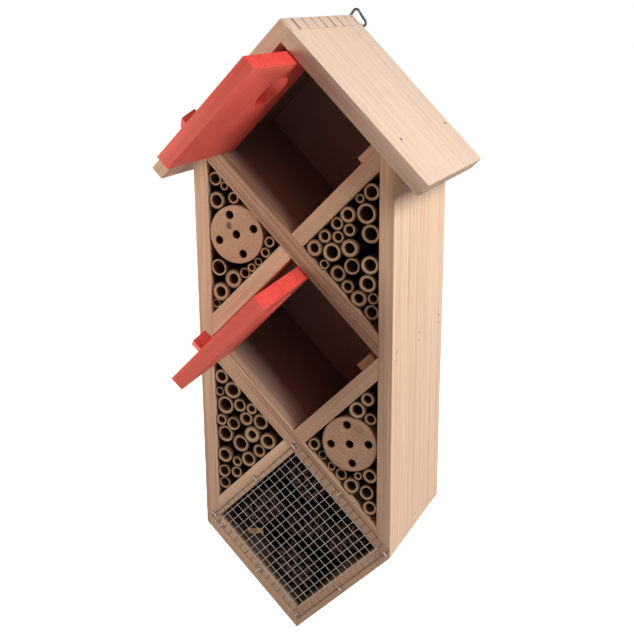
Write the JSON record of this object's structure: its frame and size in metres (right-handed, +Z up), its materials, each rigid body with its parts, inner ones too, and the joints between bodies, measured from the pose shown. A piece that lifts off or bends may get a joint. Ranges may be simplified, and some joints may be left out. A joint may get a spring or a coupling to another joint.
{
  "type": "insect hotel",
  "caption": "Wall-hung insect hotel: a tall pointed pine house with hinged red doors over diamond compartments, bamboo and drilled log nests at the sides, and a meshed store of cones.",
  "frame": {"origin": "middle of the wall side of the house, level with the middle of the middle compartment", "axes": "+Z up, +Y towards the wall it hangs on, so the doors face -Y, +X to the right seen from the front"},
  "size_m": [0.2036, 0.1903, 0.4561],
  "materials": {
    "pine": "sawn and sanded, bare",
    "red_paint": "thin red stain with the grain showing",
    "bamboo": "dry, satin rind and sawn ends",
    "log_wood": "sawn end with a dark drilled face, bark off",
    "mesh_wire": "zinc coated",
    "staple_steel": "bright",
    "pin_steel": "plain",
    "cone": "dry open scales",
    "bark": "rough",
    "chip": "split pale wood",
    "ring_wire": "darkened wire",
    "hanger_steel": "zinc plated",
    "screw_steel": "zinc plated",
    "brad_steel": "plain nail heads"
  },
  "bodies": {
    "house": {"back_brads": "brad_steel", "back_panel": "pine", "bark_pieces": "bark", "bottom_left": "pine", "bottom_right": "pine", "hanger_screws": "screw_steel", "hanger_strap": "hanger_steel", "left_brads": "brad_steel", "left_side": "pine", "light_chip": "chip", "lower_door_stop": "pine", "lower_hinge_pins": "pin_steel", "lower_left_bamboo": "bamboo", "lower_left_divider": "pine", "lower_long_divider": "pine", "lower_right_bamboo": "bamboo", "lower_right_log": "log_wood", "mesh_staples": "staple_steel", "middle_right_divider": "pine", "pine_cone_1": "cone", "pine_cone_2": "cone", "pine_cone_3": "cone", "pine_cone_4": "cone", "pine_cone_5": "cone", "right_brads": "brad_steel", "right_side": "pine", "roof_brads": "brad_steel", "roof_left": "pine", "roof_right": "pine", "upper_door_stop": "pine", "upper_hinge_pins": "pin_steel", "upper_left_bamboo": "bamboo", "upper_left_divider": "pine", "upper_left_log": "log_wood", "upper_long_divider": "pine", "upper_right_bamboo": "bamboo", "upper_right_divider": "pine", "wire_mesh": "mesh_wire"},
    "upper_door_leaf": {"upper_door": "red_paint", "upper_door_knob": "red_paint"},
    "lower_door_leaf": {"lower_door": "red_paint", "lower_door_knob": "red_paint"},
    "hanger": {"hanger_ring": "ring_wire"}
  },
  "joints": [
    {"name": "upper_door_hinge", "type": "hinge", "parent": "house", "child": "upper_door_leaf", "pos_m": [-0.02357, -0.1082, 0.16906], "axis": [0.7071, 0, 0.7071], "range_deg": [-18, 90]},
    {"name": "lower_door_hinge", "type": "hinge", "parent": "house", "child": "lower_door_leaf", "pos_m": [-0.02357, -0.1082, 0.02357], "axis": [0.7071, 0, 0.7071], "range_deg": [-40, 87]},
    {"name": "hanger_swing", "type": "hinge", "parent": "house", "child": "hanger", "pos_m": [0.002, 0.002, 0.21624], "axis": [-1, 0, 0], "range_deg": [0, 170]}
  ]
}
